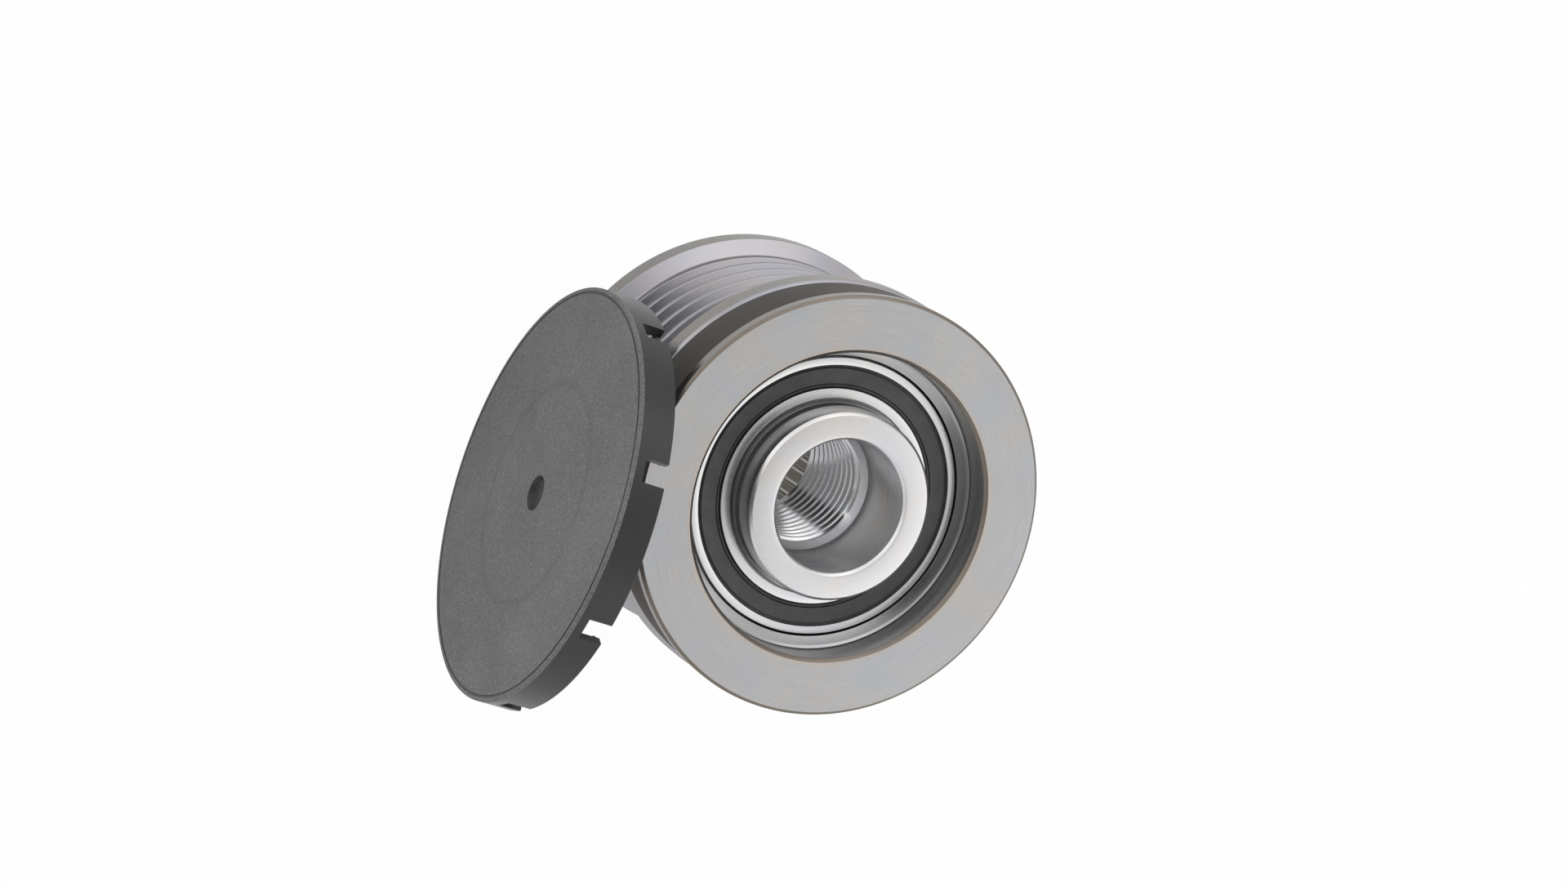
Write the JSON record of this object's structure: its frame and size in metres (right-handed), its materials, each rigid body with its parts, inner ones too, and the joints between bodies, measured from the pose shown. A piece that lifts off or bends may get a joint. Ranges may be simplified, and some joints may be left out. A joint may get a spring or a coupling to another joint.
{
  "type": "alternator pulley",
  "caption": "Overrunning ribbed-belt alternator pulley with sealed bearings, a roller clutch on a threaded hub, with its dust cap taken off and set beside it.",
  "frame": {"origin": "centre of the hub's face on the alternator's side, on the pulley's axis", "axes": "+Z along the pulley's axis toward the alternator, -Y toward the dust cap that stands on its edge beside the pulley"},
  "size_m": [0.0649, 0.0594, 0.0529],
  "materials": {
    "ring_steel": "turned, blue-grey",
    "race_steel": "ground",
    "ball_steel": "polished",
    "hub_steel": "turned",
    "spring_steel": "bright",
    "seal_rubber": "matte",
    "cage_plastic": "moulded",
    "cap_plastic": "fine grain"
  },
  "bodies": {
    "ring": {"pulley_ring": "ring_steel", "inboard_bearing_outer_race": "race_steel", "inboard_bearing_outer_seal": "seal_rubber", "inboard_bearing_inner_seal": "seal_rubber", "outboard_bearing_outer_race": "race_steel", "outboard_bearing_inner_seal": "seal_rubber", "outboard_bearing_outer_seal": "seal_rubber", "clutch_outer_ring": "race_steel", "dust_cap": "cap_plastic"},
    "hub": {"hub_sleeve": "hub_steel", "inboard_bearing_inner_race": "race_steel", "outboard_bearing_inner_race": "race_steel", "clutch_inner_ring": "race_steel", "clutch_rollers": "ball_steel", "clutch_cage": "cage_plastic", "clutch_springs": "spring_steel"},
    "inboard_ball_set": {"inboard_bearing_balls": "ball_steel", "inboard_bearing_cage": "cage_plastic"},
    "outboard_ball_set": {"outboard_bearing_balls": "ball_steel", "outboard_bearing_cage": "cage_plastic"}
  },
  "joints": [
    {"name": "hub_spin", "type": "hinge", "parent": "ring", "child": "hub", "pos_m": [0, 0, 0], "axis": [0, 0, 1], "continuous": true},
    {"name": "inboard_balls_spin", "type": "hinge", "parent": "ring", "child": "inboard_ball_set", "pos_m": [0, 0, 0], "axis": [0, 0, 1], "continuous": true},
    {"name": "outboard_balls_spin", "type": "hinge", "parent": "ring", "child": "outboard_ball_set", "pos_m": [0, 0, 0], "axis": [0, 0, 1], "continuous": true}
  ],
  "couplings": [
    {"joint": "inboard_balls_spin", "follows": "hub_spin", "ratio": 0.4427},
    {"joint": "outboard_balls_spin", "follows": "hub_spin", "ratio": 0.4427}
  ]
}
